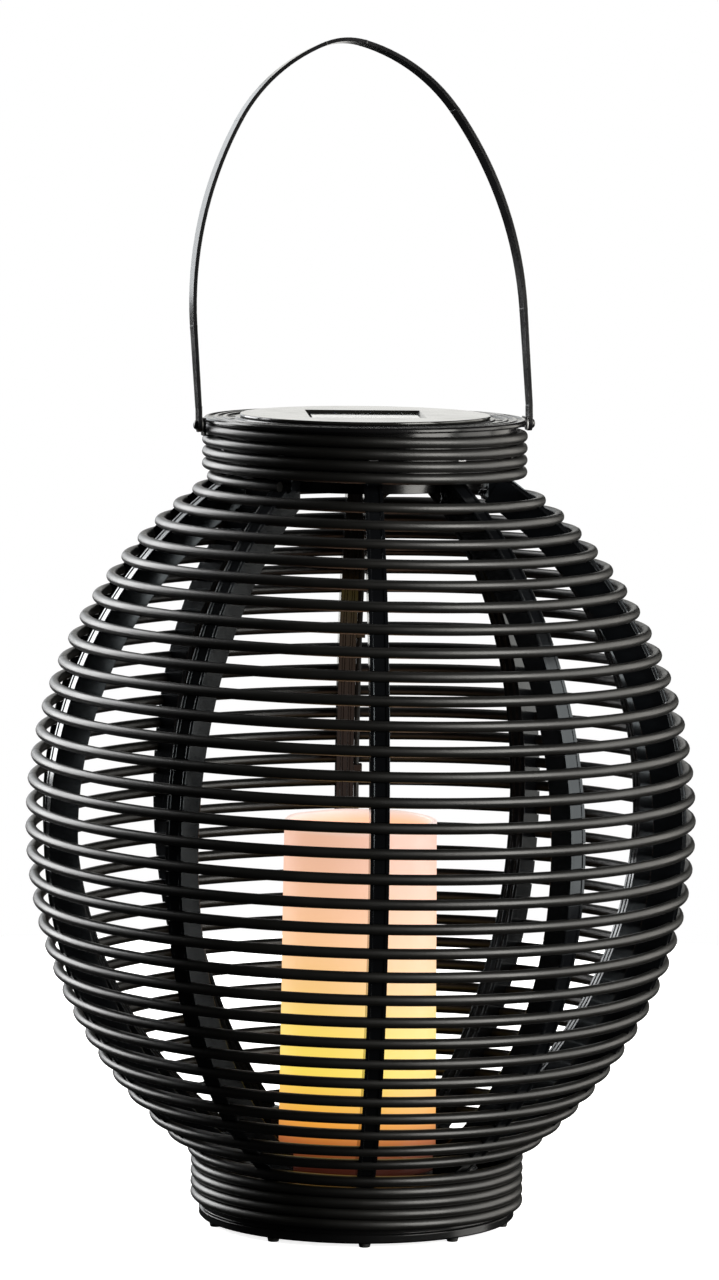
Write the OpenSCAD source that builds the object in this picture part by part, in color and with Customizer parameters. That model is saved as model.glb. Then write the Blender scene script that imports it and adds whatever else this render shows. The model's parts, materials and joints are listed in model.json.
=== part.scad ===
// Solar garden lantern: a barrel cage of round rod wound on ten notched ribs, with a solar unit in
// its collar, an electric pillar candle inside and a flat bail handle.
// Millimetres, +Z up, origin on the ground at the lantern's axis, front towards -Y.

/* [Cage] */
// Widest diameter over the wound rod
body_d = 317; // [315:1:319]
// Diameter of the wound rod
rod_d = 5; // [4.8:0.1:5]
// Thickness of a rib across its tooth faces
rib_w = 8.6; // [7:0.1:9.5]
// Depth of a rib behind its tooth faces
rib_depth = 14; // [12:0.5:15]

/* [Bail handle] */
// Height of the bail above its pivots
bail_h = 180.5; // [175:0.5:195]
// Width of the bail strap along its crown
bail_w = 12; // [10:0.5:16]
// Thickness of the bail strap
bail_t = 1.8; // [1.4:0.1:2.2]
// Turn of the bail's pivot line about the vertical
bail_yaw = 10; // [6:1:11]
// Backward lean of the bail at rest
bail_lean = 5.5; // [0:0.5:20]

/* [Solar unit] */
// Diameter of the raised lid disc
lid_d = 118; // [117:0.5:119]
// Side of the square window over the solar cell
window_w = 51; // [44:1:54]

/* [Candle] */
// Diameter of the candle at its foot
candle_d = 75.2; // [70:0.2:77]
// Height of the candle's rim above the ground
candle_top = 192; // [170:1:205]

/* [Hidden] */

// Fineness of small rounds and of large rings
fn_small = 48;
fn_ring = 144;
// Overlap that keeps a cutter's end clear of the face it cuts
eps = 0.1;

// ---- Winding: one rod, left-handed, that falls 11.7 mm a turn along the cage's profile arc ----
rod_r = rod_d / 2;
arc_rad = 196;
arc_z = 191.1;
arc_x = body_d / 2 - rod_r - arc_rad;
turn_step = 3.37;
first_angle = 52.8;
body_start = -0.5;
body_turns = 31;
base_pitch = 5.1;
base_rod_r = 76.6;
base_top_z = 32.9;
base_end = 35.5;
// Each half turn stops this many degrees short of the next, and a close sleeve joins the two
joint_gap = 0.1;
sleeve_r = rod_r + 0.06;
sleeve_l = 1.4;
collar_pitch = 5.6;
collar_rod_r = 74.1;
collar_top_z = 376.6;

// The rod sags a little at -X on its last two turns of the body
function sag(t) = t == 29 || t == 30 ? 0.28 : 0;
function profile(t) = let (a = first_angle - turn_step * (t + sag(t)))
    [arc_x + arc_rad * cos(a), arc_z + arc_rad * sin(a)];
// Radius and height of the rod's centre at the ends of each half turn, t in turns
function cage_point(t) =
    t < body_turns ? profile(t) :
    t == body_turns ? [base_rod_r + 1.6, base_top_z + 1.1] :
    [base_rod_r, base_top_z - base_pitch * (t - body_turns)];
function collar_point(t) =
    t < 4 ? [collar_rod_r, collar_top_z - collar_pitch * t] :
    t == 4 ? [collar_rod_r - 2.4, collar_top_z - collar_pitch * 3.5 - 3.4] :
    [collar_rod_r - 3.6, collar_top_z - collar_pitch * 3.5 - 6.4];

// ---- Ribs ----
rib_count = 10;
rib_step = 360 / rib_count;
first_rib = -90;
tooth_rad = arc_rad + 0.5;
rib_in_rad = tooth_rad - rib_depth;
notch_r = rod_r + 0.2;
rib_top_angle = 57;
rib_low_angle = -55.6;
tab_in = 61;
tab_out = 68.2;
low_tab_out = 70.6;
tab_low_z = 12;
tab_high_z = 372;
tab_bend_low = 44;
tab_bend_high = 342;
tab_wide = rib_w - 0.6;
groove_w = 1.2;
groove_d = 0.8;
screw_r = 1.5;
screw_bore_r = 1.55;
screw_head_r = 2.6;

// ---- Collar frame ----
drum_r = 71.5;
drum_t = 3;
drum_low_z = 358.4;
flange_z = 379.2;
flange_top_z = 381.8;
flange_r = 76.1;
// Ring grooves in the flange's top, by their edges' distances from its rim, and their depth
flange_grooves = [[1.8, 4.9], [6.1, 9.2], [10.3, 15.3]];
groove_sink = 0.7;
neck_in = 57.9;
neck_out = 60;
neck_low_z = 362;
rib_screw_top_z = 366;
// Oval holes through the flange
flange_hole_angles = [-6, 170, 184];
flange_hole_ring = 63.3;
flange_hole_r = 1.7;
flange_hole_reach = 1.3;

// ---- Base ----
plinth_r = 73.9;
plinth_lip_r = 75;
plinth_t = 3;
plinth_low_z = 2;
plinth_top_z = 30;
plinth_lip_z = 6.5;
rib_screw_low_z = 20;
floor_t = 2.4;
tray_r = 58;
tray_z = 23.6;
tray_t = 2;
tray_wall = 2;
tray_rim_h = 2.4;
foot_ring_r = 71.2;
foot_r = 3;
base_hole_r = 62;
floor_screw_angles = [0, 108, 180, 288];
floor_screw_ring = 65.6;
// Drain holes through the floor
drain_ring = 52;
drain_r = 3;

// ---- Candle ----
candle_r = candle_d / 2;
// The candle narrows by this much of its radius up to the rim
candle_draft = 1.4;
candle_wall = 2.6;
candle_low_z = tray_z + 0.2;
candle_lip_r = candle_wall / 2;
candle_dish = 16;
candle_dish_t = 2.4;
candle_base_h = 9;
candle_base_t = 2.4;
candle_screw_angles = [30, 150, 270];
candle_screw_ring = 28;
candle_post_r = 4;
board_r = 21;
board_t = 1.6;
led_ring = 10;
led_r = 2.5;

// ---- Solar unit ----
lid_r = lid_d / 2;
lid_low_z = flange_top_z + 0.1;
lid_top_z = 383.4;
unit_r = 57.4;
unit_wall = 2.2;
unit_split_z = 366;
unit_low_z = 350;
window_low = window_w - 4;
cell_z = 380;
cell_t = 1;
glass_t = 1.1;
chamfer = 1.8;
lid_screw_ring = 49;
lid_screw_angles = [45 : 90 : 315];
lid_post_r = 3.6;
battery_r = 7;
battery_l = 49;
battery_y = -14;
battery_z = unit_low_z + 10;
contact_x = 26.4;
door_w = 59.4;
door_d = 23.4;
door_t = 1.6;
door_screw_x = 27.4;
door_screw_r = 1;
door_bore_r = 1.05;
switch_x = 22;
switch_y = 26;
switch_slot_w = 10;
switch_travel = 4;

// ---- Bail ----
bail_axis_z = 378.6;
// The brackets' tabs pass between two turns of the collar's rod, the left one a turn lower
left_tab_z = 373.58;
right_tab_z = 377;
tab_t = 0.4;
tab_w = 7;
strap_in = 78.9;
strap_mid = strap_in + bail_t / 2;
plate_in = 77.1;
plate_t = 1;
rivet_r = 1.3;
rivet_bore_r = 1.35;
rivet_head_r = 2.2;
rivet_head_t = 1.6;
bail_sway = 2.9;
bail_bend_h = 8;
bail_end_r = 3.4;
// Height up the strap where it reaches its full width
bail_taper_h = 121;
// The strap's arcs stop this far short of each other, inside a band this much bigger than the strap
bail_gap = 0.15;
bail_band = 0.12;
bail_band_l = 1.2;
// Directions where one crown arc hands over to the next, and their radii: the last one closes the crown
bail_turns = [0, 32.2, 71.2, 90];
bail_rad_1 = 179.2;
bail_rad_2 = 81.2;
bail_rad_3 = (strap_mid - bail_rad_1 * (1 - cos(bail_turns[1]))
    - bail_rad_2 * (cos(bail_turns[1]) - cos(bail_turns[2]))) / cos(bail_turns[2]);
bail_rads = [bail_rad_1, bail_rad_2, bail_rad_3];
bail_rise = bail_rad_1 * sin(bail_turns[1])
    + bail_rad_2 * (sin(bail_turns[2]) - sin(bail_turns[1]))
    + bail_rad_3 * (1 - sin(bail_turns[2]));
bail_leg_h = bail_h - bail_rise;

// ---- Lead ----
lead_r = 1.3;
lead_x = rib_w / 2 + lead_r + 0.3;
lead_rad = rib_in_rad + 4.5;
lead_sides = 8;
// Where the lead rises through the tray, and the low end of its socket
lead_hole_y = 22;
lead_hole_r = 2;
socket_low_z = 352;

module at_rib(i) {
    rotate([0, 0, first_rib + i * rib_step]) children();
}

module at_ribs() {
    for (i = [0 : rib_count - 1]) at_rib(i) children();
}

module tube(r_in, r_out, z0, z1) {
    translate([0, 0, z0])
        difference() {
            cylinder(r = r_out, h = z1 - z0, $fn = fn_ring);
            translate([0, 0, -eps]) cylinder(r = r_in, h = z1 - z0 + 2 * eps, $fn = fn_ring);
        }
}

module disc(r, z0, z1) {
    translate([0, 0, z0]) cylinder(r = r, h = z1 - z0, $fn = fn_ring);
}

module box_at(x, y, z0, w, d, h) {
    translate([x - w / 2, y - d / 2, z0]) cube([w, d, h]);
}

// A cylinder along +X from x0 to x1 at height z
module along_x(r, x0, x1, z) {
    translate([x0, 0, z]) rotate([0, 90, 0]) cylinder(r = r, h = x1 - x0, $fn = fn_small);
}

// ---- Winding ----

// Half a turn of rod, a tilted half ring between two ends on the X axis. The front half runs
// from -X to +X past -Y, the back half from +X to -X past +Y.
module half_turn(a, b, front, from = 0, to = 180) {
    plus = front ? b : a;
    minus = front ? a : b;
    span = norm([plus[0] + minus[0], plus[1] - minus[1]]);
    translate([(plus[0] - minus[0]) / 2, 0, (plus[1] + minus[1]) / 2])
        rotate([0, -asin((plus[1] - minus[1]) / span), 0])
            rotate([0, 0, (front ? 180 : 0) + from])
                rotate_extrude(angle = to - from, $fn = fn_ring)
                    translate([span / 2, 0]) circle(r = rod_r, $fn = fn_small);
}

// The sleeve round the joint at a point of the rod, on -X at whole turns and on +X at half turns
module rod_joint(p, t) {
    translate([t == floor(t) ? -p[0] : p[0], 0, p[1]])
        rotate([90, 0, 0]) cylinder(r = sleeve_r, h = sleeve_l, center = true, $fn = fn_small);
}

// Whole half turns from one turn number to another, joined at open_start and open_end to more rod
module cage_rod(t0, t1, open_start = false, open_end = false) {
    for (t = [t0 : 0.5 : t1 - 0.5]) {
        from = t > t0 || open_start ? joint_gap : 0;
        to = t < t1 - 0.5 || open_end ? 180 - joint_gap : 180;
        half_turn(cage_point(t), cage_point(t + 0.5), t == floor(t), from, to);
        if (from > 0) rod_joint(cage_point(t), t);
    }
    if (open_end) rod_joint(cage_point(t1), t1);
}

module body_winding(t0, t1) {
    color([0.07, 0.07, 0.07]) cage_rod(t0, t1);
}

module body_winding_1() {
    color([0.07, 0.07, 0.07]) {
        half_turn(cage_point(body_start), cage_point(0), false, 54, 180 - joint_gap);
        cage_rod(0, 5, open_start = true);
    }
}

module collar_winding() {
    color([0.07, 0.07, 0.07]) {
        for (t = [0 : 0.5 : 3.5]) {
            from = t > 0 ? joint_gap : 0;
            half_turn(collar_point(t), collar_point(t + 0.5), t == floor(t), from, 180 - joint_gap);
            rod_joint(collar_point(t + 0.5), t + 0.5);
        }
        half_turn(collar_point(4), collar_point(4.5), true, joint_gap, 54);
    }
}

module base_winding() {
    color([0.07, 0.07, 0.07]) {
        cage_rod(body_turns, base_end, open_end = true);
        half_turn(cage_point(base_end), cage_point(base_end + 0.5), false, joint_gap, 90);
    }
}

// ---- Ribs ----

// Radius and height of the rod's centre where the half turn from a to b crosses a direction
function crossing(a, b, az) =
    let (
        front = az >= 180,
        plus = front ? b : a,
        minus = front ? a : b,
        shift = (plus[0] - minus[0]) / 2,
        rad = norm([plus[0] + minus[0], plus[1] - minus[1]]) / 2,
        phi = az + asin(shift * sin(az) / rad)
    )
    [shift * cos(az) + rad * cos(phi - az), (plus[1] + minus[1]) / 2 + (plus[1] - minus[1]) / 2 * cos(phi)];

module notch(p) {
    translate([p[0], rib_w, p[1]])
        rotate([90, 0, 0]) cylinder(r = notch_r, h = 2 * rib_w, $fn = fn_small);
}

module rib_section() {
    w = rib_w / 2;
    g = groove_w / 2;
    polygon([
        [tooth_rad, -w], [tooth_rad, -w + 1.6], [tooth_rad - 0.35, -w + 1.6],
        [tooth_rad - 0.35, w - 1.6], [tooth_rad, w - 1.6], [tooth_rad, w],
        [rib_in_rad, w], [rib_in_rad, 1.8 + g], [rib_in_rad + groove_d, 1.8 + g],
        [rib_in_rad + groove_d, 1.8 - g], [rib_in_rad, 1.8 - g],
        [rib_in_rad, -1.8 + g], [rib_in_rad + groove_d, -1.8 + g],
        [rib_in_rad + groove_d, -1.8 - g], [rib_in_rad, -1.8 - g], [rib_in_rad, -w]
    ]);
}

module rib(i) {
    az = (first_rib + i * rib_step + 360) % 360;
    lag = az >= 180 ? 0 : 0.5;
    frac = (az >= 180 ? az - 180 : az) / 360;
    color([0.05, 0.05, 0.055])
        at_rib(i)
            difference() {
                union() {
                    translate([arc_x, 0, arc_z])
                        rotate([90, 0, 0])
                            rotate([0, 0, rib_low_angle])
                                rotate_extrude(angle = rib_top_angle - rib_low_angle, $fn = 240)
                                    rib_section();
                    translate([tab_in, -tab_wide / 2, tab_bend_high])
                        cube([tab_out - tab_in, tab_wide, tab_high_z - tab_bend_high]);
                    translate([tab_in, -tab_wide / 2, tab_low_z])
                        cube([low_tab_out - tab_in, tab_wide, tab_bend_low - tab_low_z]);
                }
                for (n = [-1 : body_turns])
                    if (n + lag + frac > body_start + 0.1 && n + lag < body_turns + 0.6)
                        notch(crossing(cage_point(n + lag), cage_point(n + lag + 0.5), az));
                if (az > 80 && az < 240)
                    notch(crossing(collar_point(lag == 0 ? 4 : 3.5), collar_point(lag == 0 ? 4.5 : 4), az));
                along_x(screw_bore_r, tab_in - eps, tab_out + eps, rib_screw_top_z);
                along_x(screw_bore_r, tab_in - eps, low_tab_out + eps, rib_screw_low_z);
            }
}

module rib_screw(r_out, z) {
    along_x(screw_r, tab_in + 1, r_out - 1.4, z);
    translate([r_out - 1.4, 0, z])
        rotate([0, 90, 0]) cylinder(r1 = screw_r, r2 = screw_head_r - 0.4, h = 1.2, $fn = fn_small);
}

module screw_seat(r_out, z) {
    along_x(screw_bore_r, tab_out - 1, r_out + 1, z);
    translate([r_out - 1.4, 0, z])
        rotate([0, 90, 0]) cylinder(r1 = screw_bore_r, r2 = screw_head_r, h = 1.4 + eps, $fn = fn_small);
}

module rib_screws_top() {
    color([0.6, 0.6, 0.6]) at_ribs() rib_screw(drum_r, rib_screw_top_z);
}

module rib_screws_base() {
    color([0.6, 0.6, 0.6]) at_ribs() rib_screw(plinth_r, rib_screw_low_z);
}

// ---- Collar frame ----

module bracket_slot(side) {
    z = side < 0 ? left_tab_z : right_tab_z;
    rotate([0, 0, bail_yaw + (side < 0 ? 180 : 0)])
        translate([drum_r - drum_t - 1, -tab_w / 2 - 0.2, z - 0.2])
            cube([drum_t + 2, tab_w + 0.4, tab_t + 0.4]);
}

module top_frame() {
    color([0.06, 0.06, 0.065])
        difference() {
            rotate_extrude($fn = fn_ring)
                polygon(concat(
                    [
                        [neck_in, neck_low_z], [neck_out, neck_low_z], [neck_out, flange_z],
                        [drum_r - drum_t, flange_z], [drum_r - drum_t, drum_low_z], [drum_r, drum_low_z],
                        [drum_r, flange_z], [flange_r - 0.6, flange_z], [flange_r, flange_z + 0.7],
                        [flange_r, flange_top_z - 0.9], [flange_r - 0.9, flange_top_z]
                    ],
                    [for (g = flange_grooves) each [
                        [flange_r - g[0], flange_top_z],
                        [flange_r - g[0] - groove_sink, flange_top_z - groove_sink],
                        [flange_r - g[1] + groove_sink, flange_top_z - groove_sink],
                        [flange_r - g[1], flange_top_z]
                    ]],
                    [[neck_in, flange_top_z]]
                ));
            at_ribs() screw_seat(drum_r, rib_screw_top_z);
            for (a = flange_hole_angles)
                rotate([0, 0, a]) flange_hole();
            bracket_slot(-1);
            bracket_slot(1);
        }
}

// An oval hole through the flange, 6 mm along the ring
module flange_hole() {
    for (s = [-1, 1])
        translate([flange_hole_ring, s * flange_hole_reach, flange_z - 1])
            cylinder(r = flange_hole_r, h = 4, $fn = fn_small);
    translate([flange_hole_ring - flange_hole_r, -flange_hole_reach, flange_z - 1])
        cube([2 * flange_hole_r, 2 * flange_hole_reach, 4]);
}

// ---- Base ----

module base_ring() {
    color([0.05, 0.05, 0.05])
        difference() {
            rotate_extrude($fn = fn_ring)
                polygon([
                    [plinth_r - plinth_t, plinth_low_z + floor_t], [plinth_r - plinth_t, plinth_top_z],
                    [plinth_r, plinth_top_z], [plinth_r, plinth_lip_z], [plinth_lip_r, plinth_lip_z - 0.8],
                    [plinth_lip_r, plinth_low_z + 0.6], [plinth_lip_r - 0.6, plinth_low_z],
                    [base_hole_r, plinth_low_z], [base_hole_r, plinth_low_z + floor_t]
                ]);
            at_ribs() screw_seat(plinth_r, rib_screw_low_z);
            for (a = floor_screw_angles)
                rotate([0, 0, a]) translate([floor_screw_ring, 0, 0])
                    cylinder(r = screw_bore_r, h = 10, $fn = fn_small);
        }
}

module base_floor() {
    color([0.05, 0.05, 0.05])
        difference() {
            disc(plinth_r - plinth_t - 0.4, plinth_low_z + floor_t, plinth_low_z + 2 * floor_t);
            for (a = floor_screw_angles)
                rotate([0, 0, a]) translate([floor_screw_ring, 0, 0])
                    cylinder(r = screw_bore_r, h = 10, $fn = fn_small);
            for (a = [45 : 90 : 315])
                rotate([0, 0, a]) translate([drain_ring, 0, 0])
                    cylinder(r = drain_r, h = 10, $fn = fn_small);
        }
}

module floor_screws() {
    color([0.6, 0.6, 0.6])
        for (a = floor_screw_angles)
            rotate([0, 0, a]) translate([floor_screw_ring, 0, 0]) {
                translate([0, 0, 0.9]) cylinder(r = screw_head_r, h = 1.1, $fn = fn_small);
                translate([0, 0, 1.9]) cylinder(r = screw_r, h = 6, $fn = fn_small);
            }
}

module candle_tray() {
    color([0.06, 0.06, 0.06])
        difference() {
            union() {
                disc(tray_r, tray_z - tray_t, tray_z);
                tube(tray_r - tray_wall, tray_r, plinth_low_z + 2 * floor_t, tray_z - tray_t / 2);
                tube(candle_r + 0.5, candle_r + 0.5 + tray_wall, tray_z - tray_t / 2, tray_z + tray_rim_h);
            }
            for (a = candle_screw_angles)
                rotate([0, 0, a]) translate([candle_screw_ring, 0, tray_z - 5])
                    cylinder(r = screw_bore_r, h = 10, $fn = fn_small);
            translate([lead_x - lead_hole_r, tray_r / 2, plinth_low_z + 2 * floor_t - eps])
                cube([2 * lead_hole_r, tray_r, 5]);
            translate([lead_x, lead_hole_y, tray_z - 5]) cylinder(r = lead_hole_r, h = 10, $fn = fn_small);
        }
}

module feet() {
    color([0.03, 0.03, 0.03])
        at_ribs() translate([foot_ring_r, 0, 0])
            cylinder(r1 = foot_r - 0.5, r2 = foot_r, h = plinth_low_z, $fn = fn_small);
}

// ---- Candle ----

module candle_shell() {
    low = candle_low_z;
    top = candle_top;
    top_r = candle_r - candle_draft;
    in = top_r - candle_wall;
    color([1, 0.72, 0.42])
        rotate_extrude($fn = fn_ring)
            polygon(concat(
                [[candle_r - candle_wall, low], [candle_r, low]],
                [for (a = [0 : 15 : 180])
                    [top_r - candle_lip_r * (1 - cos(a)), top - candle_lip_r * (1 - sin(a))]],
                [[in, top - candle_dish + 4], [in - 4, top - candle_dish], [0, top - candle_dish],
                 [0, top - candle_dish - candle_dish_t], [in - 5, top - candle_dish - candle_dish_t],
                 [in, top - candle_dish - 6]]
            ));
}

module candle_base() {
    out = candle_r - candle_wall - 0.3;
    color([0.9, 0.86, 0.8])
        difference() {
            union() {
                disc(out, candle_low_z, candle_low_z + candle_base_t);
                tube(out - 2, out, candle_low_z, candle_low_z + candle_base_h);
                for (a = candle_screw_angles)
                    rotate([0, 0, a]) translate([candle_screw_ring, 0, candle_low_z])
                        cylinder(r = candle_post_r, h = candle_base_h, $fn = fn_small);
            }
            for (a = candle_screw_angles)
                rotate([0, 0, a]) translate([candle_screw_ring, 0, candle_low_z - eps])
                    cylinder(r = screw_bore_r, h = 7, $fn = fn_small);
            translate([lead_x, lead_hole_y, candle_low_z - eps])
                cylinder(r = lead_hole_r, h = 10, $fn = fn_small);
        }
}

module candle_screws() {
    color([0.6, 0.6, 0.6])
        for (a = candle_screw_angles)
            rotate([0, 0, a]) translate([candle_screw_ring, 0, tray_z - tray_t]) {
                translate([0, 0, -1.6]) cylinder(r = screw_head_r, h = 1.6, $fn = fn_small);
                translate([0, 0, -eps]) cylinder(r = screw_r, h = 8, $fn = fn_small);
            }
}

module candle_board() {
    color([0.9, 0.9, 0.9])
        difference() {
            disc(board_r, candle_low_z + candle_base_t + 0.2, candle_low_z + candle_base_t + 0.2 + board_t);
            translate([lead_x, lead_hole_y, candle_low_z])
                cylinder(r = lead_hole_r + 1, h = 10, $fn = fn_small);
        }
}

// Four small lamps on the candle's board, each a body with a domed lens
module candle_leds() {
    color([1, 0.9, 0.7])
        for (a = [0 : 90 : 270])
            rotate([0, 0, a]) translate([led_ring, 0, candle_low_z + candle_base_t + board_t + 0.3]) {
                cylinder(r = led_r, h = 2 * led_r, $fn = fn_small);
                translate([0, 0, 2 * led_r]) sphere(r = led_r, $fn = fn_small);
            }
}

// ---- Solar unit ----

// The window's pocket, with walls that lean outwards at the top
module window_pocket() {
    flat = window_w / 2;
    wide = flat + chamfer;
    low = lid_top_z - 2;
    profile = [[-flat, cell_z], [flat, cell_z], [flat, low], [wide, lid_top_z], [wide, lid_top_z + 1],
        [-wide, lid_top_z + 1], [-wide, lid_top_z], [-flat, low]];
    intersection() {
        rotate([90, 0, 0]) linear_extrude(2 * wide, center = true) polygon(profile);
        rotate([90, 0, 90]) linear_extrude(2 * wide, center = true) polygon(profile);
    }
}

module lid_cover() {
    color([0.08, 0.08, 0.08])
        difference() {
            union() {
                rotate_extrude($fn = fn_ring)
                    polygon([
                        [0, lid_low_z - 3], [unit_r - unit_wall, lid_low_z - 3],
                        [unit_r - unit_wall, unit_split_z + 0.1], [unit_r, unit_split_z + 0.1],
                        [unit_r, lid_low_z], [lid_r - 0.4, lid_low_z], [lid_r, lid_low_z + 0.5],
                        [lid_r, lid_top_z - 0.7], [lid_r - 0.2, lid_top_z - 0.2],
                        [lid_r - 0.7, lid_top_z], [0, lid_top_z]
                    ]);
                for (a = lid_screw_angles)
                    rotate([0, 0, a]) translate([lid_screw_ring, 0, unit_split_z + 0.1])
                        cylinder(r = lid_post_r, h = lid_low_z - 3 - unit_split_z, $fn = fn_small);
            }
            window_pocket();
            translate([0, 0, lid_top_z - 6]) cube([window_low, window_low, 12], center = true);
            for (a = lid_screw_angles)
                rotate([0, 0, a]) translate([lid_screw_ring, 0, unit_split_z])
                    cylinder(r = screw_bore_r, h = 9, $fn = fn_small);
        }
}

module lid_housing() {
    color([0.05, 0.05, 0.05]) {
        difference() {
            union() {
                difference() {
                    disc(unit_r, unit_low_z, unit_split_z);
                    disc(unit_r - unit_wall, unit_low_z + 2, unit_split_z + 1);
                }
                for (a = lid_screw_angles)
                    rotate([0, 0, a]) translate([lid_screw_ring, 0, unit_low_z + 1])
                        cylinder(r = lid_post_r, h = unit_split_z - unit_low_z - 1, $fn = fn_small);
            }
            for (a = lid_screw_angles)
                rotate([0, 0, a]) translate([lid_screw_ring, 0, unit_low_z - 1]) {
                    cylinder(r = screw_bore_r, h = 30, $fn = fn_small);
                    cylinder(r = screw_head_r + 0.1, h = 3, $fn = fn_small);
                }
            box_at(0, battery_y, unit_low_z - 1, door_w + 0.6, door_d + 0.6, 4);
            box_at(switch_x, switch_y, unit_low_z - 1, switch_slot_w, 5, 4);
            at_socket() box_at(0, unit_r, unit_split_z - 8, 9, 8, 5);
        }
        for (s = [-1, 1])
            difference() {
                box_at(s * 30, battery_y, unit_low_z + 1.8, 9, 8, 2.6);
                translate([s * door_screw_x, battery_y, unit_low_z])
                    cylinder(r = door_bore_r, h = 6, $fn = fn_small);
            }
    }
}

module lid_seal() {
    out = unit_r - unit_wall - 0.2;
    color([0.02, 0.02, 0.02]) tube(out - 1.2, out, unit_split_z - 1.6, unit_split_z + 1.6);
}

module solar_cell() {
    color([0.03, 0.05, 0.12]) box_at(0, 0, cell_z + 0.05, window_w - 0.6, window_w - 0.6, cell_t);
}

module panel_glass() {
    color([0.5, 0.6, 0.7, 0.4])
        box_at(0, 0, cell_z + cell_t + 0.15, window_w - 0.4, window_w - 0.4, glass_t);
}

// A rechargeable cell lying across the unit
module battery() {
    color([0.2, 0.5, 0.25])
        translate([-battery_l / 2 - 0.5, battery_y, battery_z]) rotate([0, 90, 0]) {
            cylinder(r = battery_r, h = battery_l, $fn = fn_small);
            translate([0, 0, battery_l - eps]) cylinder(r = 2.6, h = 1.1, $fn = fn_small);
        }
}

module battery_contacts() {
    color([0.75, 0.75, 0.75])
        for (s = [-1, 1])
            box_at(s * contact_x, battery_y, unit_low_z + 4.6, 0.6, 10, 11.5);
}

module battery_door() {
    color([0.05, 0.05, 0.05])
        difference() {
            union() {
                box_at(0, battery_y, unit_low_z, door_w, door_d, door_t);
                for (x = [-14, 14]) box_at(x, battery_y, unit_low_z + 1.4, 1.6, 12, 1.2);
            }
            for (s = [-1, 1])
                translate([s * door_screw_x, battery_y, unit_low_z - 1])
                    cylinder(r = door_bore_r, h = 4, $fn = fn_small);
        }
}

module battery_door_screws() {
    color([0.6, 0.6, 0.6])
        for (s = [-1, 1])
            translate([s * door_screw_x, battery_y, unit_low_z]) {
                translate([0, 0, -0.9]) cylinder(r = 2 * door_screw_r, h = 0.9, $fn = fn_small);
                translate([0, 0, -eps]) cylinder(r = door_screw_r, h = 4.2, $fn = fn_small);
            }
}

module charge_board() {
    color([0.1, 0.35, 0.15]) {
        box_at(0, 17, unit_low_z + 8.2, 44, 26, 1.6);
        box_at(-10, 12, unit_low_z + 9.8, 8, 6, 1.8);
        translate([8, 12, unit_low_z + 9.8]) cylinder(r = 3, h = 5, $fn = fn_small);
    }
}

module switch_body() {
    color([0.3, 0.3, 0.3]) box_at(switch_x - 3, switch_y - 2, unit_low_z + 4.4, 12, 6, 3.6);
}

module switch_slider() {
    color([0.75, 0.75, 0.75]) {
        box_at(switch_x - switch_travel / 2, switch_y, unit_low_z - 0.8, 4, 3.6, 4.4);
        box_at(switch_x - switch_travel / 2, switch_y, unit_low_z + 2.2, 13, 7, 1.8);
    }
}

module lid_screws() {
    color([0.6, 0.6, 0.6])
        for (a = lid_screw_angles)
            rotate([0, 0, a]) translate([lid_screw_ring, 0, 0]) {
                translate([0, 0, unit_low_z + 0.2]) cylinder(r = screw_head_r, h = 1.8, $fn = fn_small);
                translate([0, 0, unit_low_z + 1.9]) cylinder(r = screw_r, h = 22, $fn = fn_small);
            }
}

// Halfway between the back rib and its right neighbour
module at_socket() {
    rotate([0, 0, -rib_step / 2]) children();
}

// Sprung blades on the unit's back that meet the lead's socket when the unit drops in
module contact_blades() {
    color([0.85, 0.7, 0.3])
        at_socket()
            for (s = [-1, 1])
                translate([s * 2.2 - 0.7, unit_r - 4, unit_split_z - 7.4]) cube([1.4, 4.1, 3.6]);
}

module lead_socket() {
    color([0.08, 0.08, 0.08])
        at_socket()
            box_at(0, neck_in + 3, socket_low_z, 12, 5.8, neck_low_z - socket_low_z);
}

// ---- Lead ----

// Points along the back rib's side, between hand-set ends at the socket and in the tray
lead_head = [[18.9, 58, socket_low_z], [18.6, 58.5, 348], [16.5, 61, 343], [12, 67, 339], [8, 74, 337.5]];
lead_tail = [
    [5.9, 72, 40], [5.9, 66.5, 30], [5.9, 65, 20], [5.9, 63.6, 13.5], [5.9, 60, 10], [5.9, 54, 9.2],
    [5.9, 40, 9.2], [5.9, 28, 10.4], [5.9, 23, 14.4], [5.9, 22, 20], [5.9, 22, 27.2]
];
lead_path = concat(
    lead_head,
    [for (a = [50 : -5 : -50]) [lead_x, arc_x + lead_rad * cos(a), arc_z + lead_rad * sin(a)]],
    lead_tail
);
function unit(v) = v / norm(v);
function lead_dir(i) = unit(
    lead_path[min(i + 1, len(lead_path) - 1)] - lead_path[max(i - 1, 0)]);
function lead_ring(i) =
    let (d = lead_dir(i), u = unit(cross(d, cross([1, 0, 0], d))), v = cross(d, u))
    [for (k = [0 : lead_sides - 1]) let (a = k * 360 / lead_sides)
        lead_path[i] + lead_r * (cos(a) * u + sin(a) * v)];

module lead() {
    rings = len(lead_path);
    points = [for (i = [0 : rings - 1]) each lead_ring(i)];
    sides = [for (i = [0 : rings - 2], k = [0 : lead_sides - 1])
        let (a = i * lead_sides, b = (k + 1) % lead_sides)
        [a + k, a + b, a + lead_sides + b, a + lead_sides + k]];
    last = (rings - 1) * lead_sides;
    caps = [
        [for (k = [lead_sides - 1 : -1 : 0]) k],
        [for (k = [0 : lead_sides - 1]) last + k]
    ];
    color([0.03, 0.03, 0.03]) polyhedron(points, concat(sides, caps));
}

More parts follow.
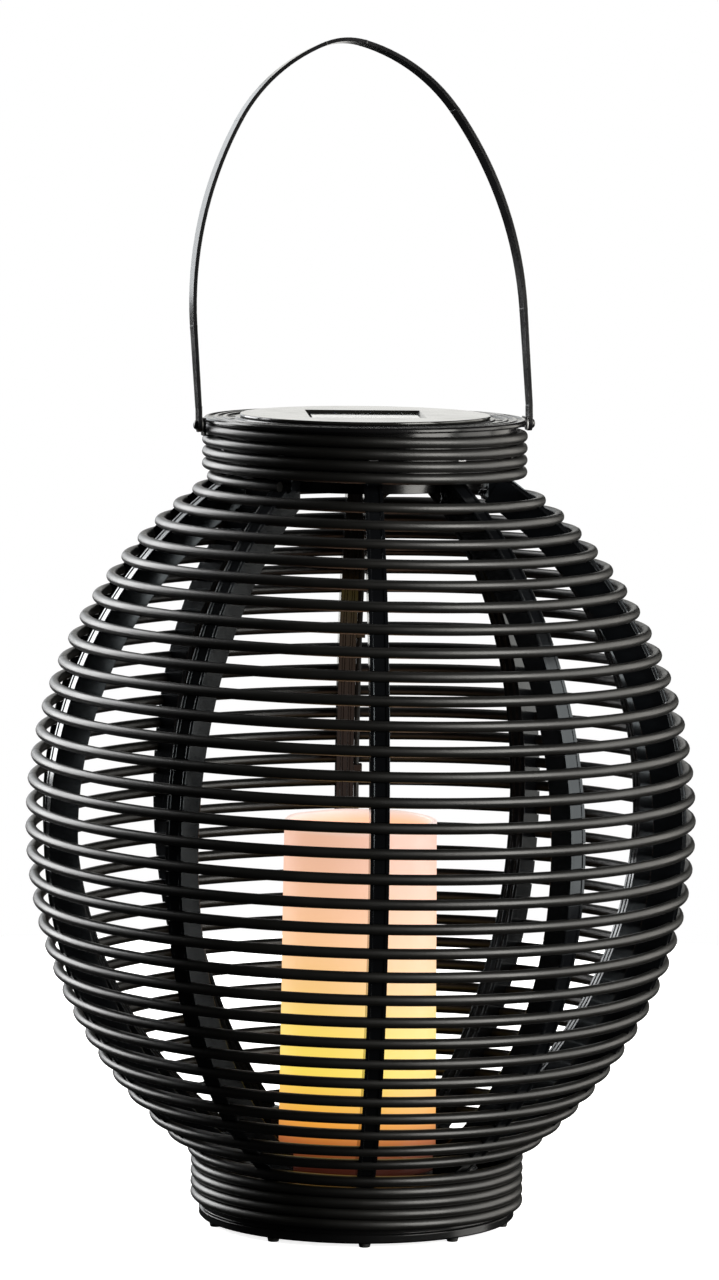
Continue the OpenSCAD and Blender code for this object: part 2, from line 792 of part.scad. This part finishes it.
module lead_clips() {
    color([0.03, 0.03, 0.03])
        for (a = [-44, -22, 2, 24, 46])
            translate([0, arc_x + lead_rad * cos(a), arc_z + lead_rad * sin(a)])
                rotate([a, 0, 0])
                    difference() {
                        translate([rib_w / 2 + 0.05, -2.6, -2]) cube([4.2, 5.2, 4]);
                        translate([lead_x, 0, -3]) cylinder(r = lead_r + 0.15, h = 6, $fn = fn_small);
                    }
}

// ---- Bail ----

module at_bail() {
    translate([0, 0, bail_axis_z]) rotate([0, 0, bail_yaw]) children();
}

// Where the strap's arcs are centred, from the leg's top to the crown, each tangent to the last
crown_c1 = [strap_mid - bail_rads[0], bail_leg_h];
crown_c2 = crown_c1 + (bail_rads[0] - bail_rads[1]) * [cos(bail_turns[1]), sin(bail_turns[1])];
crown_c3 = crown_c2 + (bail_rads[1] - bail_rads[2]) * [cos(bail_turns[2]), sin(bail_turns[2])];
crown_centres = [crown_c1, crown_c2, crown_c3];

// Part of the strap's arc k between two directions, short of each end by the gap inside a joint
module crown_arc(k, from, to) {
    trim = bail_gap / bail_rads[k] * 180 / PI;
    translate([crown_centres[k][0], 0, crown_centres[k][1]])
        rotate([90, 0, 0])
            rotate([0, 0, from + trim])
                rotate_extrude(angle = to - from - 2 * trim, $fn = 360)
                    translate([bail_rads[k] - bail_t / 2, -bail_w / 2])
                        square([bail_t, bail_w]);
}

// The close band round the joint where arc k starts
module crown_joint(k) {
    translate([crown_centres[k][0], 0, crown_centres[k][1]])
        rotate([0, -bail_turns[k], 0])
            translate([bail_rads[k], 0, 0])
                cube([bail_t + bail_band, bail_w + bail_band, bail_band_l], center = true);
}

module crown_half(side) {
    mirror([side < 0 ? 1 : 0, 0, 0]) {
        for (k = [0 : 1]) crown_arc(k, bail_turns[k], bail_turns[k + 1]);
        for (k = [0 : 2]) crown_joint(k);
    }
}

// One straight leg, from beside its round end to just short of the first arc
module bail_leg(side) {
    start = bail_bend_h - side * strap_mid * sin(bail_sway);
    translate([side * strap_mid - bail_t / 2, -bail_w / 2, start])
        cube([bail_t, bail_w, bail_leg_h - bail_gap - start]);
}

// What the strap is cut to from the side: narrow at the pivots, widening upwards
module bail_side_view() {
    low = bail_end_r - 0.1;
    wide = (bail_w + 2 * bail_band) / 2;
    top = bail_h + 20;
    translate([-100, 0, 0]) rotate([90, 0, 90])
        linear_extrude(200)
            polygon([
                [-low, 0], [low, 0], [wide, bail_taper_h], [wide, top], [-wide, top], [-wide, bail_taper_h]
            ]);
}

// The flat round end that turns on the rivet
module bail_end(side) {
    translate([side * strap_mid - bail_t / 2 - 0.05, 0, 0]) {
        rotate([0, 90, 0]) cylinder(r = bail_end_r, h = bail_t + 0.1, $fn = fn_small);
        translate([0, -bail_end_r, 0]) cube([bail_t + 0.1, 2 * bail_end_r, bail_bend_h + 0.6]);
    }
}

// The crown leans a little to the left of its pivots
module bail() {
    color([0.03, 0.03, 0.035])
        at_bail() rotate([-bail_lean, 0, 0])
            difference() {
                union() {
                    translate([0, 0, bail_bend_h]) rotate([0, -bail_sway, 0]) translate([0, 0, -bail_bend_h])
                        intersection() {
                            union() {
                                crown_arc(2, bail_turns[2], 180 - bail_turns[2]);
                                for (side = [-1, 1]) {
                                    crown_half(side);
                                    bail_leg(side);
                                }
                            }
                            bail_side_view();
                        }
                    for (side = [-1, 1]) bail_end(side);
                }
                translate([-100, 0, 0]) rotate([0, 90, 0])
                    cylinder(r = rivet_bore_r, h = 200, $fn = fn_small);
            }
}

// A pressed bracket: a pivot plate outside the winding and a tab through the collar drum
module bail_bracket(side, tab_z) {
    color([0.04, 0.04, 0.04])
        rotate([0, 0, bail_yaw + (side < 0 ? 180 : 0)])
            difference() {
                union() {
                    translate([plate_in, -tab_w / 2, tab_z]) cube([plate_t, tab_w, bail_axis_z + 3.4 - tab_z]);
                    translate([drum_r - drum_t - 0.8, -tab_w / 2, tab_z])
                        cube([plate_in + plate_t - drum_r + drum_t + 0.8, tab_w, tab_t]);
                    translate([drum_r - drum_t - 0.8, -tab_w / 2, tab_z - 5]) cube([0.7, tab_w, 5 + tab_t]);
                }
                along_x(rivet_bore_r, plate_in - 1, plate_in + 2, bail_axis_z);
            }
}

module bail_bracket_left() {
    bail_bracket(-1, left_tab_z);
}

module bail_bracket_right() {
    bail_bracket(1, right_tab_z);
}

module bail_rivets() {
    head_x = strap_in + bail_t + 0.1;
    color([0.04, 0.04, 0.04])
        for (turn = [0, 180])
            rotate([0, 0, bail_yaw + turn]) {
                along_x(rivet_r, plate_in + 0.05, head_x + 0.4, bail_axis_z);
                translate([head_x, 0, bail_axis_z]) rotate([0, 90, 0])
                    rotate_extrude($fn = fn_small)
                        polygon(concat(
                            [[0, 0], [rivet_head_r, 0]],
                            [for (a = [0 : 15 : 75]) [
                                0.7 + (rivet_head_r - 0.7) * cos(a), 0.4 + (rivet_head_t - 0.4) * sin(a)]],
                            [[0.7, rivet_head_t], [0, rivet_head_t]]
                        ));
            }
}

module bail_washers() {
    color([0.75, 0.75, 0.75])
        for (turn = [0, 180])
            rotate([0, 0, bail_yaw + turn])
                difference() {
                    along_x(3.2, plate_in + plate_t + 0.05, strap_in - 0.1, bail_axis_z);
                    along_x(rivet_bore_r, plate_in, strap_in + 1, bail_axis_z);
                }
}

rib(0);  // rib_1
rib(1);  // rib_2
rib(2);  // rib_3
rib(3);  // rib_4
rib(4);  // rib_5
rib(5);  // rib_6
rib(6);  // rib_7
rib(7);  // rib_8
rib(8);  // rib_9
rib(9);  // rib_10
collar_winding();
body_winding_1();
body_winding(5, 10);  // body_winding_2
body_winding(10, 15);  // body_winding_3
body_winding(15, 20);  // body_winding_4
body_winding(20, 25);  // body_winding_5
body_winding(25, 31);  // body_winding_6
base_winding();
top_frame();
base_ring();
base_floor();
candle_tray();
feet();
rib_screws_top();
rib_screws_base();
floor_screws();
candle_shell();
candle_base();
candle_board();
candle_leds();
candle_screws();
lid_cover();
lid_housing();
lid_seal();
solar_cell();
panel_glass();
battery();
battery_contacts();
battery_door();
battery_door_screws();
charge_board();
switch_body();
switch_slider();
lid_screws();
contact_blades();
lead_socket();
lead();
lead_clips();
bail();
bail_bracket_left();
bail_bracket_right();
bail_rivets();
bail_washers();
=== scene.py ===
import json
import math

import bmesh
import bpy
from mathutils import Matrix, Vector, noise


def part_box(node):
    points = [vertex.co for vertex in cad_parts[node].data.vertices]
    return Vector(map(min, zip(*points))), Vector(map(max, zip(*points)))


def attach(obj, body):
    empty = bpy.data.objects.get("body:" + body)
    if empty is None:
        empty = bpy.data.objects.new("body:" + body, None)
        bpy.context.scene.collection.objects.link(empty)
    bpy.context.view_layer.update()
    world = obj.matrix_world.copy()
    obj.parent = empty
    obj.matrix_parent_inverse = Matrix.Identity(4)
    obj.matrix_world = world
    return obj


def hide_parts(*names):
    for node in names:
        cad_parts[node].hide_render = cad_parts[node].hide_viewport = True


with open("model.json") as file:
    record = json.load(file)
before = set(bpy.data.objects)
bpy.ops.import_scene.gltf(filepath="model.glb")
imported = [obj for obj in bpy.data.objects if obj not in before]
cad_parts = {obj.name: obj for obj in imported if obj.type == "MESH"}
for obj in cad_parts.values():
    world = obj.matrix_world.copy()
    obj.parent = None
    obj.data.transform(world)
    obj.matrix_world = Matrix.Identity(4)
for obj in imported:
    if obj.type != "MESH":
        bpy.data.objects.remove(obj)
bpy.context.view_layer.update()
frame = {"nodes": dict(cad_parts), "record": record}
scene = bpy.context.scene

# ---------------------------------------------------------------- camera

CAMERA_DISTANCE = 2.909
CAMERA_AZIMUTH = math.radians(-3.26)
CAMERA_HEIGHT = 0.574
CAMERA_PITCH = math.radians(-5.84)
CAMERA_YAW = math.radians(-0.03)
CAMERA_ROLL = math.radians(0.65)
CAMERA_LENS = 174.2


def add_camera():
    """The camera stands at the photograph's angle, a touch left of the front rib, and is rolled slightly."""
    heading = CAMERA_YAW - CAMERA_AZIMUTH
    ahead = Vector((math.sin(heading), math.cos(heading), 0))
    right = Vector((math.cos(heading), -math.sin(heading), 0))
    up = Vector((0, 0, 1))
    look = ahead * math.cos(CAMERA_PITCH) + up * math.sin(CAMERA_PITCH)
    lift = up * math.cos(CAMERA_PITCH) - ahead * math.sin(CAMERA_PITCH)
    side = right * math.cos(CAMERA_ROLL) + lift * math.sin(CAMERA_ROLL)
    top = lift * math.cos(CAMERA_ROLL) - right * math.sin(CAMERA_ROLL)
    data = bpy.data.cameras.new("camera")
    data.lens = CAMERA_LENS
    data.sensor_width = 36
    data.clip_end = 60
    camera = bpy.data.objects.new("camera", data)
    turn = Matrix((side, top, -look)).transposed().to_4x4()
    place = Matrix.Translation((
        CAMERA_DISTANCE * math.sin(CAMERA_AZIMUTH),
        -CAMERA_DISTANCE * math.cos(CAMERA_AZIMUTH),
        CAMERA_HEIGHT,
    ))
    camera.matrix_world = place @ turn
    scene.collection.objects.link(camera)
    scene.camera = camera


add_camera()
scene.view_settings.view_transform = "Standard"

# ---------------------------------------------------------------- materials


def linear(rgb):
    """Linear light of a display colour given from 0 to 255."""
    return tuple(
        c / 255 / 12.92 if c / 255 <= 0.04045 else ((c / 255 + 0.055) / 1.055) ** 2.4
        for c in rgb
    ) + (1.0,)


class Shader:
    """A small wrapper round one material's nodes."""

    def __init__(self, name, **sockets):
        self.material = bpy.data.materials.new(name)
        self.material.use_nodes = True
        self.tree = self.material.node_tree
        self.bsdf = self.tree.nodes["Principled BSDF"]
        for key, value in sockets.items():
            self.bsdf.inputs[key.replace("_", " ")].default_value = value
        self.place = self.node("ShaderNodeTexCoord").outputs["Object"]

    def node(self, kind, **settings):
        made = self.tree.nodes.new(kind)
        for key, value in settings.items():
            setattr(made, key, value)
        return made

    def link(self, out, into):
        self.tree.links.new(out, into)

    def stretched(self, scale):
        mapping = self.node("ShaderNodeMapping")
        mapping.inputs["Scale"].default_value = scale
        self.link(self.place, mapping.inputs["Vector"])
        return mapping.outputs["Vector"]

    def noise(self, scale, detail=3.0, stretch=(1, 1, 1)):
        made = self.node("ShaderNodeTexNoise")
        made.inputs["Scale"].default_value = scale
        made.inputs["Detail"].default_value = detail
        self.link(self.stretched(stretch), made.inputs["Vector"])
        return made.outputs["Fac"]

    def ramp(self, value, stops):
        made = self.node("ShaderNodeValToRGB")
        ramp = made.color_ramp
        while len(ramp.elements) < len(stops):
            ramp.elements.new(0.5)
        for element, (position, colour) in zip(ramp.elements, stops):
            element.position = position
            element.color = colour
        self.link(value, made.inputs["Fac"])
        return made.outputs["Color"]

    def spread(self, value, low, high, start=0.3, end=0.7):
        made = self.node("ShaderNodeMapRange")
        made.inputs["From Min"].default_value = start
        made.inputs["From Max"].default_value = end
        made.inputs["To Min"].default_value = low
        made.inputs["To Max"].default_value = high
        self.link(value, made.inputs["Value"])
        return made.outputs["Result"]

    def mix(self, share, first, second):
        """Blends the first colour, an output, towards the second, a constant."""
        made = self.node("ShaderNodeMixRGB")
        self.link(share, made.inputs["Fac"])
        self.link(first, made.inputs["Color1"])
        made.inputs["Color2"].default_value = second
        return made.outputs["Color"]

    def bump(self, value, height, strength=1.0, edge=0.0):
        """A relief, over edges softened to a radius of edge metres."""
        made = self.node("ShaderNodeBump")
        if edge:
            soft = self.node("ShaderNodeBevel", samples=6)
            soft.inputs["Radius"].default_value = edge
            self.link(soft.outputs["Normal"], made.inputs["Normal"])
        made.inputs["Strength"].default_value = strength
        made.inputs["Distance"].default_value = height
        self.link(value, made.inputs["Height"])
        self.link(made.outputs["Normal"], self.bsdf.inputs["Normal"])


def grey(value):
    return (value, value, value, 1)


def mottled(
    name, dark, light, rough, scale, bump=0.0, bump_scale=None, stretch=(1, 1, 1), edge=0.0, **sockets
):
    """A surface whose colour and gloss vary softly over it, with a fine relief."""
    shader = Shader(name, **sockets)
    cloud = shader.noise(scale, 4, stretch)
    shader.link(shader.ramp(cloud, [(0.32, dark), (0.68, light)]), shader.bsdf.inputs["Base Color"])
    shader.link(shader.spread(shader.noise(scale * 2.3), *rough), shader.bsdf.inputs["Roughness"])
    if bump:
        shader.bump(shader.noise(bump_scale or scale * 20, 2, stretch), bump, edge=edge)
    return shader.material


def rod_material():
    """Extruded plastic rod: satin near-black with a soft orange-peel, lightly weathered in patches."""
    return mottled(
        "rod", (0.003, 0.003, 0.0027, 1), (0.006, 0.0058, 0.0052, 1), (0.35, 0.43), 22,
        bump=0.00003, bump_scale=900,
    )


def rim_radius(node):
    """The radius of a round CAD solid at its top."""
    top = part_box(node)[1][2]
    return max(math.hypot(v.co.x, v.co.y) for v in frame["nodes"][node].data.vertices if v.co.z > top - 0.004)


WAX_WALL = 0.0026
WAX_INNER_STEP = 0.0007
WAX_LIP_HIGH = 0.0012
WAX_LIP_LOW = 0.005


def wax_material():
    """The candle's glow as it shows from outside: peach above, yellow low down, with a paler lip and a warmer
    inside. At the foot, both the glow and the base colour are painted shade, falling to dark amber and near
    black."""
    shader = Shader("wax", Roughness=0.42)
    split = shader.node("ShaderNodeSeparateXYZ")
    shader.link(shader.place, split.inputs["Vector"])
    low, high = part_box("candle_shell")
    height = shader.spread(split.outputs["Z"], 0, 1, low[2], high[2])
    # The lowest stops are painted shade: the glow falls to dark amber and near black at the foot.
    stops = [
        (0.00, (16, 4, 2)), (0.05, (66, 24, 12)), (0.10, (176, 96, 40)), (0.16, (246, 166, 56)),
        (0.30, (255, 226, 86)), (0.42, (255, 222, 100)), (0.54, (252, 204, 128)), (0.68, (254, 200, 148)),
        (0.82, (246, 192, 154)), (0.93, (236, 184, 152)),
    ]
    glow = shader.ramp(height, [(at, linear(rgb)) for at, rgb in stops])
    flat = shader.node("ShaderNodeVectorMath", operation="LENGTH")
    shader.link(shader.stretched((1, 1, 0)), flat.inputs[0])
    inner = rim_radius("candle_shell") - WAX_WALL + WAX_INNER_STEP
    inside = shader.spread(flat.outputs["Value"], 1, 0, inner, inner + 0.0004)
    lip = shader.spread(split.outputs["Z"], 0, 0.85, high[2] - WAX_LIP_LOW, high[2] - WAX_LIP_HIGH)
    glow = shader.mix(inside, glow, linear((253, 188, 140)))
    glow = shader.mix(lip, glow, linear((226, 208, 196)))
    shader.link(glow, shader.bsdf.inputs["Emission Color"])
    shader.bsdf.inputs["Emission Strength"].default_value = 0.94
    cloud = shader.noise(34, 5, (1, 1, 0.5))
    body = shader.ramp(cloud, [(0.3, (0.27, 0.23, 0.29, 1)), (0.7, (0.33, 0.29, 0.35, 1))])
    # Painted shade: towards the foot, the base colour is mixed down to near black.
    foot = shader.spread(height, 0.9, 0, 0.05, 0.22)
    shader.link(shader.mix(foot, body, (0.05, 0.02, 0.01, 1)), shader.bsdf.inputs["Base Color"])
    shader.bump(shader.noise(140, 3), 0.0002, 0.6)
    return shader.material


def cell_material():
    """Polycrystalline silicon: blue-black grains of slightly different tone."""
    shader = Shader("cell", Roughness=0.22)
    grains = shader.node("ShaderNodeTexVoronoi")
    grains.inputs["Scale"].default_value = 260
    shader.link(shader.stretched((1, 1, 0.2)), grains.inputs["Vector"])
    tone = shader.node("ShaderNodeSeparateColor")
    shader.link(grains.outputs["Color"], tone.inputs["Color"])
    shader.link(
        shader.ramp(tone.outputs["Red"], [(0, (0.004, 0.006, 0.018, 1)), (1, (0.010, 0.018, 0.055, 1))]),
        shader.bsdf.inputs["Base Color"],
    )
    return shader.material


def glass_material():
    shader = Shader("glass", Roughness=0.04, IOR=1.5)
    shader.bsdf.inputs["Transmission Weight"].default_value = 1.0
    haze = shader.noise(60, 3)
    shader.link(
        shader.ramp(haze, [(0.3, (0.93, 0.96, 0.97, 1)), (0.7, (0.97, 0.98, 0.98, 1))]),
        shader.bsdf.inputs["Base Color"],
    )
    shader.link(shader.spread(haze, 0.03, 0.08), shader.bsdf.inputs["Roughness"])
    return shader.material


def metal(name, colour, rough, scale=300, stretch=(1, 1, 0.1)):
    dark = tuple(c * 0.8 for c in colour) + (1,)
    light = tuple(colour) + (1,)
    return mottled(name, dark, light, rough, scale, bump=0.00002, stretch=stretch, Metallic=1.0)


MATERIALS = {
    "rod": rod_material(),
    "rib": mottled("rib", (0.002, 0.0022, 0.0026, 1), (0.004, 0.0044, 0.0052, 1), (0.12, 0.18), 30,
                   bump=0.000003, bump_scale=200, edge=0.0004,
                   Specular_IOR_Level=0.4, Specular_Tint=(0.82, 0.92, 1, 1)),
    "frame": mottled("frame", (0.003, 0.003, 0.0032, 1), (0.006, 0.006, 0.0062, 1), (0.17, 0.25), 25,
                     bump=0.000002, bump_scale=200, edge=0.0004, Specular_IOR_Level=0.35),
    "foot": mottled("foot", grey(0.008), grey(0.014), (0.6, 0.75), 60, bump=0.00008, bump_scale=1200),
    "steel": metal("steel", (0.62, 0.62, 0.63), (0.25, 0.4)),
    "wax": wax_material(),
    "lens": mottled("lens", (0.9, 0.7, 0.35, 1), (1, 0.85, 0.55, 1), (0.08, 0.16), 200),
    "board_white": mottled("board_white", grey(0.72), grey(0.82), (0.4, 0.5), 90, bump=0.00002),
    "ivory": mottled("ivory", (0.74, 0.68, 0.56, 1), (0.84, 0.79, 0.68, 1), (0.35, 0.45), 40, bump=0.00002),
    "lid": mottled("lid", (0.010, 0.010, 0.009, 1), (0.018, 0.018, 0.016, 1), (0.10, 0.15), 28,
                   bump=0.000004, bump_scale=900, stretch=(0.06, 1, 1), edge=0.0004),
    "cell": cell_material(),
    "glass": glass_material(),
    "battery": mottled("battery", (0.03, 0.16, 0.06, 1), (0.05, 0.22, 0.09, 1), (0.2, 0.3), 80),
    "spring_metal": metal("spring_metal", (0.74, 0.62, 0.36), (0.25, 0.35)),
    "board_green": mottled("board_green", (0.015, 0.10, 0.035, 1), (0.03, 0.16, 0.06, 1), (0.3, 0.4), 120,
                           bump=0.00003),
    "switch_grey": mottled("switch_grey", grey(0.12), grey(0.17), (0.4, 0.5), 150, bump=0.00002),
    "lead": mottled("lead", grey(0.008), grey(0.013), (0.45, 0.6), 120, bump=0.00004, bump_scale=1500),
    "bail": mottled("bail", (0.004, 0.004, 0.0045, 1), (0.009, 0.009, 0.01, 1), (0.14, 0.20), 30,
                    bump=0.000001, bump_scale=60, edge=0.0003),
    "washer": mottled("washer", grey(0.5), grey(0.6), (0.4, 0.5), 200, bump=0.00002),
}

for part in frame["record"]["subparts"]:
    mesh = frame["nodes"][part["node"]].data
    mesh.materials.clear()
    mesh.materials.append(MATERIALS[part["material_slot"]])

# ---------------------------------------------------------------- pieces


def new_piece(name, verts, faces, material, body, smooth=True):
    mesh = bpy.data.meshes.new(name)
    mesh.from_pydata([tuple(v) for v in verts], [], faces)
    mesh.validate()
    work = bmesh.new()
    work.from_mesh(mesh)
    bmesh.ops.recalc_face_normals(work, faces=work.faces)
    work.to_mesh(mesh)
    work.free()
    for polygon in mesh.polygons:
        polygon.use_smooth = smooth
    mesh.materials.append(MATERIALS[material])
    piece = bpy.data.objects.new(name, mesh)
    scene.collection.objects.link(piece)
    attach(piece, body)
    return piece


def lathe(profile, steps, warp):
    """Turns a closed (radius, height) profile about Z, with warp(radius, height, angle) moving each point."""
    verts, faces = [], []
    rows = len(profile)
    for step in range(steps):
        angle = 2 * math.pi * step / steps
        for radius, height in profile:
            r, z = warp(radius, height, angle)
            verts.append((r * math.cos(angle), r * math.sin(angle), z))
    for step in range(steps):
        a, b = step * rows, (step + 1) % steps * rows
        for row in range(rows):
            nxt = (row + 1) % rows
            faces.append((a + row, b + row, b + nxt, a + nxt))
    return verts, faces


CANDLE_DISH = 0.016
BOWL_ROUND = 0.004
BOWL_WALL = 0.0024
AXIS_RADIUS = 0.0004
MELTED_HEIGHT = 0.010
MELTED_SINK = 0.0011
WAX_RIPPLE = 0.00022


def candle():
    """The wax shell with its uneven melted lip and dished top, inside the space of its CAD solid."""
    low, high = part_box("candle_shell")
    foot_radius, foot, top = high[0], low[2], high[2]
    radius = rim_radius("candle_shell")
    inner = radius - WAX_WALL
    lip = WAX_WALL / 2
    bed = top - CANDLE_DISH
    outside = [
        (foot_radius + (radius - foot_radius) * k / 40, foot + (top - foot - lip) * k / 40) for k in range(41)
    ]
    rim = [
        (radius - lip + lip * math.cos(math.pi * k / 10), top - lip + lip * math.sin(math.pi * k / 10))
        for k in range(1, 10)
    ]
    hollow = [(inner, top - lip - (CANDLE_DISH - BOWL_ROUND - lip) * k / 6) for k in range(7)]
    turns = [math.sin(math.pi / 2 * k / 5) for k in range(1, 6)]
    bowl = [(inner - BOWL_ROUND * turn, bed + BOWL_ROUND * (1 - turn) ** 1.6) for turn in turns]
    floor = [(0.024, bed), (0.012, bed), (AXIS_RADIUS, bed)]
    under = [(AXIS_RADIUS, bed - BOWL_WALL), (0.012, bed - BOWL_WALL), (inner - 0.005, bed - BOWL_WALL)]
    inside = [(inner, bed - 0.006), (foot_radius - WAX_WALL, foot)]
    profile = outside + rim + hollow + bowl + floor + under + inside

    def warp(r, z, angle):
        around = Vector((math.cos(angle) * 1.6, math.sin(angle) * 1.6, z * 22))
        near_top = max(0.0, (z - (top - MELTED_HEIGHT)) / MELTED_HEIGHT)
        sink = MELTED_SINK * near_top * (0.5 + 0.5 * noise.noise(around + Vector((3, 5, 8))))
        if r > inner + 0.0001 and z < top - lip:
            r -= WAX_RIPPLE * (0.5 + 0.5 * noise.noise(around))
        return r, z - sink

    verts, faces = lathe(profile, 128, warp)
    piece = new_piece("candle_wax", verts, faces, "wax", "cage")
    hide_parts("candle_shell")


def bar(bm, x0, x1, y0, y1, z0, z1):
    made = bmesh.ops.create_cube(bm, size=1)
    for v in made["verts"]:
        v.co = Vector((
            x0 + (v.co.x + 0.5) * (x1 - x0),
            y0 + (v.co.y + 0.5) * (y1 - y0),
            z0 + (v.co.z + 0.5) * (z1 - z0),
        ))


BUS_BAR_HALF = 0.0007
FINGER_HALF = 0.00009
FINGER_ROWS = 19


def cell_fingers():
    """The silver print on the cell: two bus bars and the fine fingers across them."""
    low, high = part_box("solar_cell")
    z0, z1 = high[2] + 0.00001, high[2] + 0.00004
    work = bmesh.new()
    margin = 0.0015
    for k in (-1, 1):
        x = k * (high[0] - low[0]) / 4
        bar(work, x - BUS_BAR_HALF, x + BUS_BAR_HALF, low[1] + margin, high[1] - margin, z0, z1)
    for k in range(FINGER_ROWS):
        y = low[1] + 0.002 + (high[1] - low[1] - 0.004) * k / (FINGER_ROWS - 1)
        bar(work, low[0] + margin, high[0] - margin, y - FINGER_HALF, y + FINGER_HALF, z0, z1 - 0.00001)
    mesh = bpy.data.meshes.new("cell_fingers")
    work.to_mesh(mesh)
    work.free()
    mesh.materials.append(MATERIALS["steel"])
    piece = bpy.data.objects.new("cell_fingers", mesh)
    scene.collection.objects.link(piece)
    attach(piece, "solar_unit")


candle()
cell_fingers()

# ---------------------------------------------------------------- stage and light

AIM = Vector((0, 0, 0.2))


def shown_only_to_camera(obj):
    obj.visible_diffuse = False
    obj.visible_glossy = False
    obj.visible_transmission = False
    obj.visible_volume_scatter = False


def emissive(name, colour, strength):
    material = bpy.data.materials.new(name)
    material.use_nodes = True
    bsdf = material.node_tree.nodes["Principled BSDF"]
    bsdf.inputs["Base Color"].default_value = (0, 0, 0, 1)
    bsdf.inputs["Roughness"].default_value = 1
    bsdf.inputs["Specular IOR Level"].default_value = 0
    bsdf.inputs["Emission Color"].default_value = colour
    bsdf.inputs["Emission Strength"].default_value = strength
    return material


def add_stage():
    """A pale floor, and a white cyclorama all round it."""
    bpy.ops.mesh.primitive_circle_add(vertices=96, radius=0.9, fill_type="NGON", location=(0, 0, 0))
    floor = bpy.context.object
    floor.name = "floor"
    material = bpy.data.materials.new("floor")
    material.use_nodes = True
    bsdf = material.node_tree.nodes["Principled BSDF"]
    bsdf.inputs["Base Color"].default_value = (0.92, 0.92, 0.92, 1)
    bsdf.inputs["Roughness"].default_value = 0.8
    bsdf.inputs["Specular IOR Level"].default_value = 0.1
    bsdf.inputs["Emission Color"].default_value = (1, 1, 1, 1)
    bsdf.inputs["Emission Strength"].default_value = 0.85
    floor.data.materials.append(material)
    shown_only_to_camera(floor)

    bpy.ops.mesh.primitive_uv_sphere_add(segments=48, ring_count=24, radius=9, location=(0, 0, 0))
    dome = bpy.context.object
    dome.name = "cyclorama"
    dome.data.materials.append(emissive("cyclorama", (1, 1, 1, 1), 1.0))
    shown_only_to_camera(dome)
    dome.visible_shadow = False


def softbox(name, azimuth, elevation, distance, width, height, radiance, colour=(1, 1, 1)):
    """An area light at an azimuth from the camera's side, positive to the right, aimed at the lantern."""
    a, e = math.radians(azimuth) + CAMERA_AZIMUTH, math.radians(elevation)
    place = AIM + distance * Vector((math.cos(e) * math.sin(a), -math.cos(e) * math.cos(a), math.sin(e)))
    data = bpy.data.lights.new(name, "AREA")
    data.shape = "RECTANGLE"
    data.size, data.size_y = width, height
    data.energy = math.pi * width * height * radiance
    data.color = colour
    light = bpy.data.objects.new(name, data)
    light.location = place
    light.rotation_euler = (AIM - place).to_track_quat("-Z", "Y").to_euler()
    light.visible_camera = False
    scene.collection.objects.link(light)


def add_light():
    world = bpy.data.worlds.new("world")
    world.use_nodes = True
    world.node_tree.nodes["Background"].inputs["Color"].default_value = (0.98, 0.99, 1, 1)
    world.node_tree.nodes["Background"].inputs["Strength"].default_value = 0.01
    scene.world = world
    softbox("key", 52, 18, 2.4, 1.3, 2.0, 11.0, (1, 0.98, 0.93))
    softbox("right", 92, 8, 2.4, 1.5, 2.2, 3.6, (1, 0.98, 0.93))
    softbox("back_right", 126, 14, 2.6, 1.2, 2.0, 2.3, (1, 0.97, 0.9))
    softbox("left", -126, 22, 2.5, 1.8, 2.2, 8.0)
    softbox("backdrop", 180, 8, 3.2, 1.0, 1.5, 1.15, (1, 0.995, 0.96))
    softbox("back_left", -158, 15, 2.8, 1.1, 1.25, 1.5, (0.95, 0.98, 1))
    softbox("overhead", 180, 70, 2.6, 2.0, 1.2, 0.4)


add_stage()
add_light()
